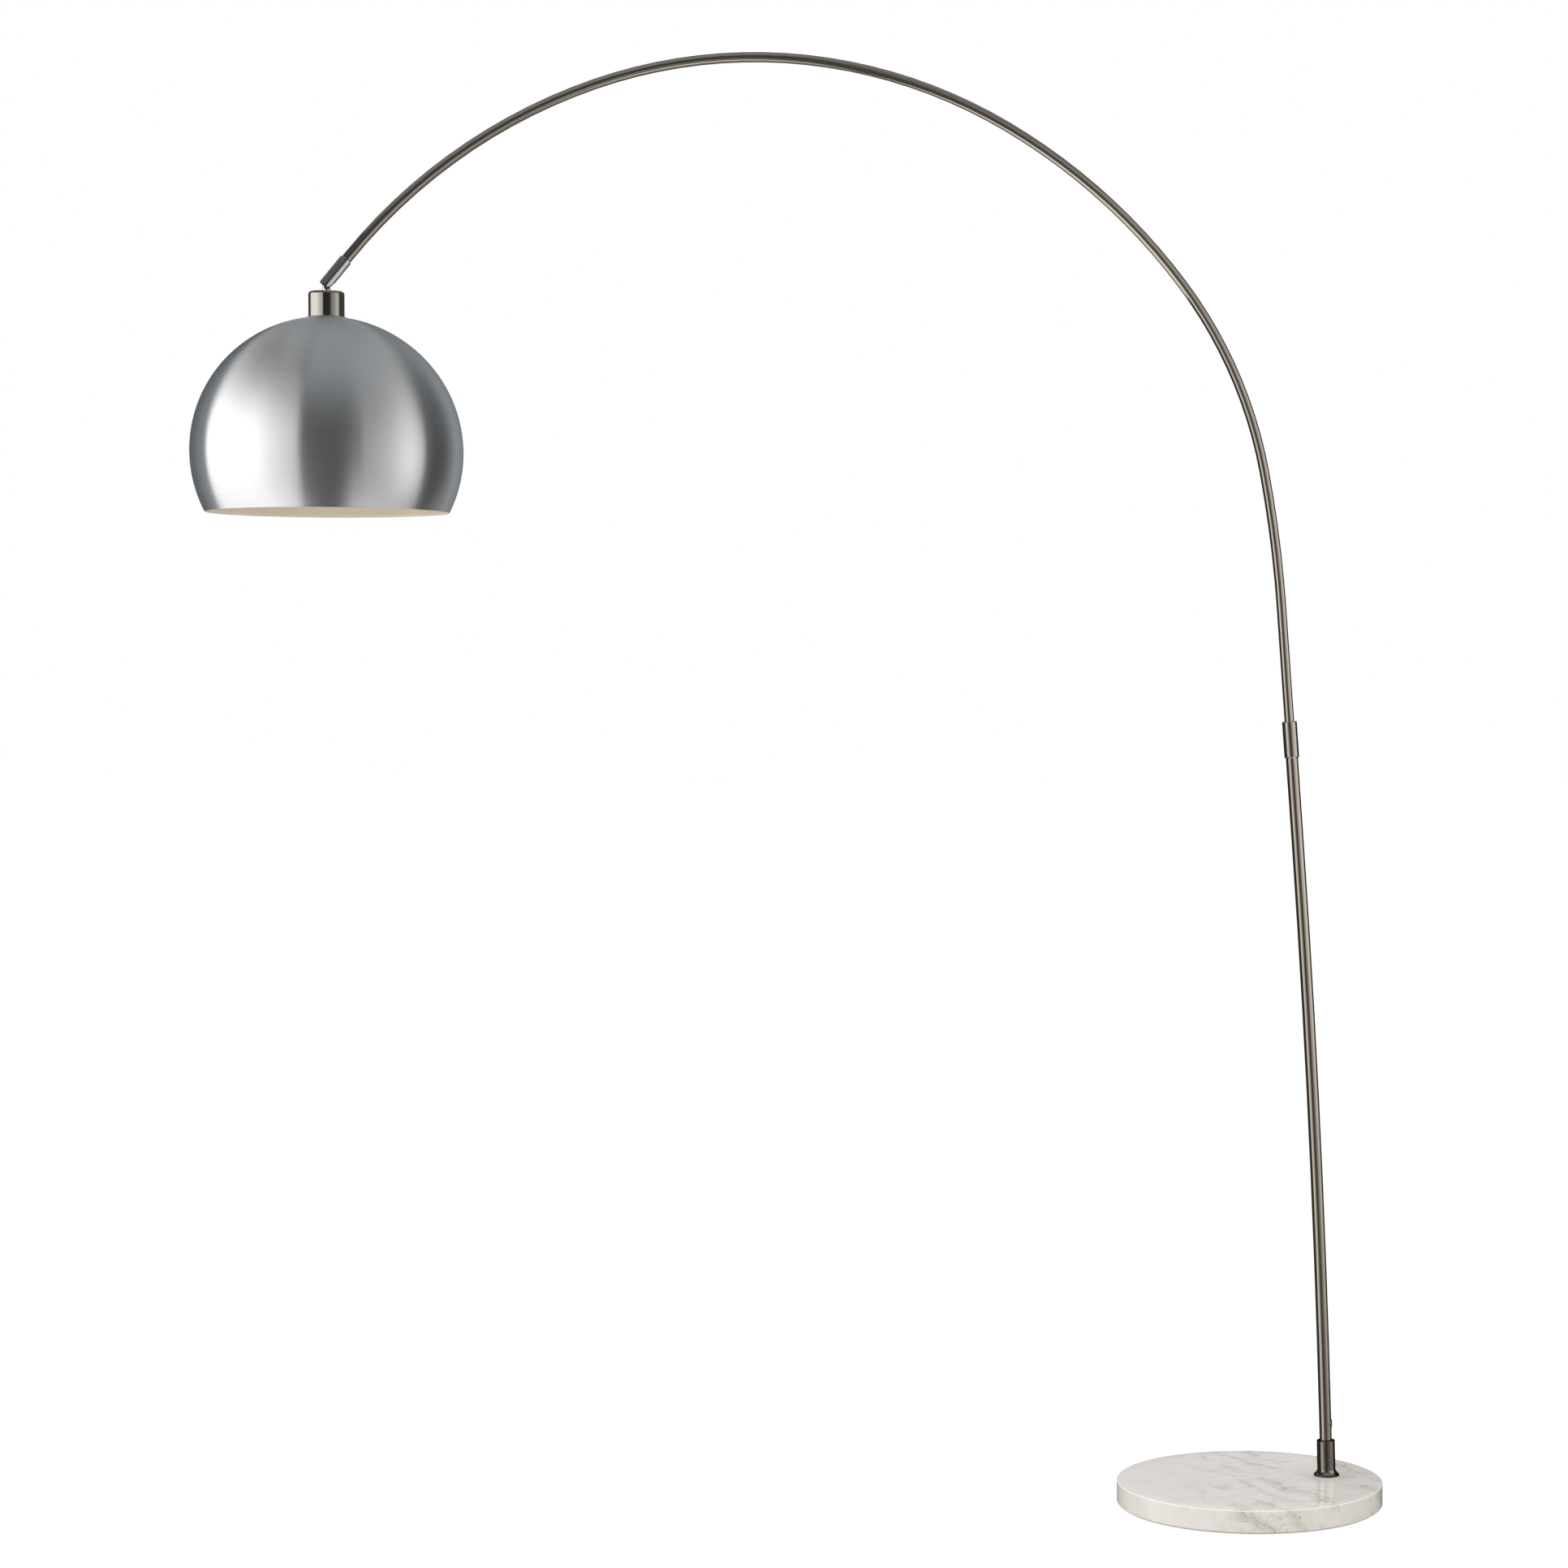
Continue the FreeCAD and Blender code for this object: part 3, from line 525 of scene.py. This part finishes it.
def make_materials():
    nickel = (0.51, 0.455, 0.38)
    return {
        "nickel": polished_metal("nickel", nickel, 0.075, edge=(0.12, 0.10, 0.08)),
        # darker copies of the nickel: painted shade for the dimmer reflections on the cup and at the foot
        "cup": polished_metal("cup_nickel_painted_shade", (0.44, 0.412, 0.368), 0.07, edge=(0.12, 0.11, 0.10)),
        "foot": polished_metal("foot_nickel_painted_shade", (0.33, 0.29, 0.235), 0.075, edge=(0.08, 0.07, 0.06)),
        "chrome": polished_metal("chrome", (0.84, 0.85, 0.85), 0.06, edge=(0.4, 0.4, 0.4)),
        "zinc_steel": polished_metal("zinc_steel", (0.62, 0.63, 0.60), 0.33, grain=0.08),
        "brass": polished_metal("brass", (0.72, 0.52, 0.22), 0.28, grain=0.05),
        "cap_metal": polished_metal("cap_metal", (0.70, 0.69, 0.66), 0.30, grain=0.05),
        "spun_aluminium": spun_aluminium(),
        "enamel": soft_surface("enamel", (0.90, 0.835, 0.745), 0.42, scale=520.0, relief=0.06),
        "marble": marble(),
        "felt": felt(),
        "black_plastic": soft_surface("black_plastic", (0.020, 0.020, 0.021), 0.42, variation=0.15),
        "white_plastic": soft_surface("white_plastic", (0.78, 0.77, 0.74), 0.40),
        "grommet_rubber": soft_surface("grommet_rubber", (0.022, 0.021, 0.020), 0.55, variation=0.2),
        "frosted_glass": soft_surface("frosted_glass", (0.90, 0.89, 0.86), 0.38, scale=800.0,
                                      **{"Transmission Weight": 0.35, "IOR": 1.45}),
    }


# ---- meshes -------------------------------------------------------------------------------------
def mesh_object(name, shape, material, body, node):
    mesh = bpy.data.meshes.new(name)
    shape.to_mesh(mesh)
    shape.free()
    mesh.materials.append(material)
    piece = bpy.data.objects.new(name, mesh)
    bpy.context.scene.collection.objects.link(piece)
    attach(piece, body)
    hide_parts(node)
    return piece


def arc_points(centre, radius, start, end, count):
    """(r, z) points of an arc, angles in degrees from outwards to upwards."""
    points = []
    for index in range(count + 1):
        angle = math.radians(start + (end - start) * index / count)
        points.append((centre[0] + radius * math.cos(angle), centre[1] + radius * math.sin(angle)))
    return points


def lathe(centre, profile, segments=256, closed=True):
    """A ring-shaped skin turned about a vertical axis from (r, z) points, with UVs in metres."""
    shape = bmesh.new()
    layer = shape.loops.layers.uv.new("UVMap")
    rings = []
    for r, z in profile:
        ring = []
        for index in range(segments):
            angle = 2 * math.pi * index / segments
            ring.append(shape.verts.new((centre.x + r * math.cos(angle),
                                         centre.y + r * math.sin(angle), z)))
        rings.append(ring)
    travel = [0.0]
    for (r0, z0), (r1, z1) in zip(profile, profile[1:] + profile[:1]):
        travel.append(travel[-1] + math.hypot(r1 - r0, z1 - z0))
    count = len(rings) if closed else len(rings) - 1
    for low in range(count):
        high = (low + 1) % len(rings)
        for index in range(segments):
            after = (index + 1) % segments
            face = shape.faces.new((rings[low][index], rings[low][after],
                                    rings[high][after], rings[high][index]))
            face.smooth = True
            spots = ((index, low), (index + 1, low), (index + 1, low + 1), (index, low + 1))
            for loop, (turn, row) in zip(face.loops, spots):
                loop[layer].uv = (turn / segments, travel[row])
    bmesh.ops.recalc_face_normals(shape, faces=shape.faces)
    return shape


DOME_DROP = 0.1624                       # from the top of the neck to the centre of the dome's sphere
DOME_STEPS = 80


def make_shade(materials):
    """Spun dome in two skins: brushed aluminium outside and over the rim, enamel inside."""
    low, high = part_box("shade")
    centre = (low + high) / 2
    radius = (high.x - low.x) / 2
    middle = high.z - DOME_DROP
    wall = 0.0008
    skin = 0.0005
    foot_r = 0.026                       # where the dome meets the neck under the cup
    rim = math.degrees(math.asin((low.z - middle) / radius))
    crown = math.degrees(math.acos(foot_r / radius))
    dome = arc_points((0, middle), radius, crown, rim, DOME_STEPS)
    outside = [(0.0220, high.z), (0.0229, high.z - 0.0003)] + dome
    steps = len(outside)

    def inset(depth):
        moved = []
        for index, (r, z) in enumerate(outside):
            r0, z0 = outside[max(index - 1, 0)]
            r1, z1 = outside[min(index + 1, steps - 1)]
            length = math.hypot(r1 - r0, z1 - z0)
            moved.append((r + (z1 - z0) / length * depth, z - (r1 - r0) / length * depth))
        return moved

    hole = 0.0195
    outer_inside = inset(skin)
    rim_r, rim_z = outside[-1]
    in_r = outer_inside[-1][0]
    outside[-1] = (rim_r, rim_z + 0.00022)
    edge = [(rim_r - 0.00004, rim_z + 0.00008), (rim_r - 0.00016, rim_z), (in_r + 0.00008, rim_z)]
    outer = [(hole, high.z)] + outside + edge + list(reversed(outer_inside[:-1] + [(in_r, rim_z)]))
    outer.append((hole, high.z - skin))
    mesh_object("shade_outer", lathe(centre, outer), materials["spun_aluminium"], "head", "shade")
    near, far = inset(skin + 0.00003), inset(wall)
    near[-1] = (near[-1][0], rim_z + 0.00005)
    far[-1] = (far[-1][0], rim_z + 0.00012)
    lining = [(hole, high.z - skin - 0.00003)] + near + list(reversed(far)) + [(hole, high.z - wall)]
    mesh_object("shade_lining", lathe(centre, lining), materials["enamel"], "head", "shade")


def make_slab(materials):
    """Marble disc with a polished bevel on top, a rounded lower edge and the stud's hole off centre."""
    low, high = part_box("base_slab")
    foot_low, foot_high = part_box("base_stud")
    foot_x = (foot_low.x + foot_high.x) / 2
    radius = (high.x - low.x) / 2
    bevel, rounding = 0.0013, 0.0025
    hole, recess, recess_top = 0.0055, 0.024, 0.0135
    rings = []

    def hole_ring(r, z):
        rings.append((foot_x, r, z))

    def slab_ring(r, z):
        rings.append((0.0, r, z))

    for r, z in ((hole, recess_top), (recess, recess_top), (recess, low.z)):
        hole_ring(r, z)
    for r, z in arc_points((radius - rounding, low.z + rounding), rounding, -90, 0, 8):
        slab_ring(r, z)
    for part in range(1, 6):
        slab_ring(radius, low.z + rounding + (high.z - bevel - low.z - rounding) * part / 6)
    for r, z in arc_points((radius - bevel, high.z - bevel), bevel, 0, 90, 6):
        slab_ring(r, z)
    for part in range(1, 8):
        fade = part / 8
        rings.append((foot_x * fade, (radius - bevel) * (1 - fade) + hole * fade, high.z))
    hole_ring(hole, high.z)
    segments = 256
    shape = bmesh.new()
    loops = []
    for x, r, z in rings:
        loops.append([shape.verts.new((x + r * math.cos(2 * math.pi * i / segments),
                                       r * math.sin(2 * math.pi * i / segments), z))
                      for i in range(segments)])
    for index, ring in enumerate(loops):
        other = loops[(index + 1) % len(loops)]
        for i in range(segments):
            after = (i + 1) % segments
            shape.faces.new((ring[i], ring[after], other[after], other[i])).smooth = True
    bmesh.ops.recalc_face_normals(shape, faces=shape.faces)
    slab = mesh_object("marble_slab", shape, materials["marble"], "base", "base_slab")
    slab.data.set_sharp_from_angle(angle=math.radians(40))
    for part in (slab, NODES["base_pad"]):
        part.visible_glossy = False      # the collar mirrors the room, as the pole above it does


# ---- the lamp -----------------------------------------------------------------------------------
# Parts that get a darker copy of their slot's nickel: painted shade, standing in for the dimmer reflections
# on the cup and at the foot of the pole.
OVERRIDES = {"socket_cup": "cup", "base_collar": "foot", "foot_flange": "foot"}


def dress_nodes(materials):
    """Gives every carried-over node the material of its slot."""
    for part in frame["record"]["subparts"]:
        name = part["node"]
        material = materials[OVERRIDES.get(name, part["material_slot"])]
        mesh = NODES[name].data
        mesh.materials.clear()
        mesh.materials.append(material)


make_camera()
make_world()
make_floor()
make_cards()
bpy.context.scene.view_settings.view_transform = "Standard"
MATERIALS = make_materials()
dress_nodes(MATERIALS)
make_shade(MATERIALS)
make_slab(MATERIALS)
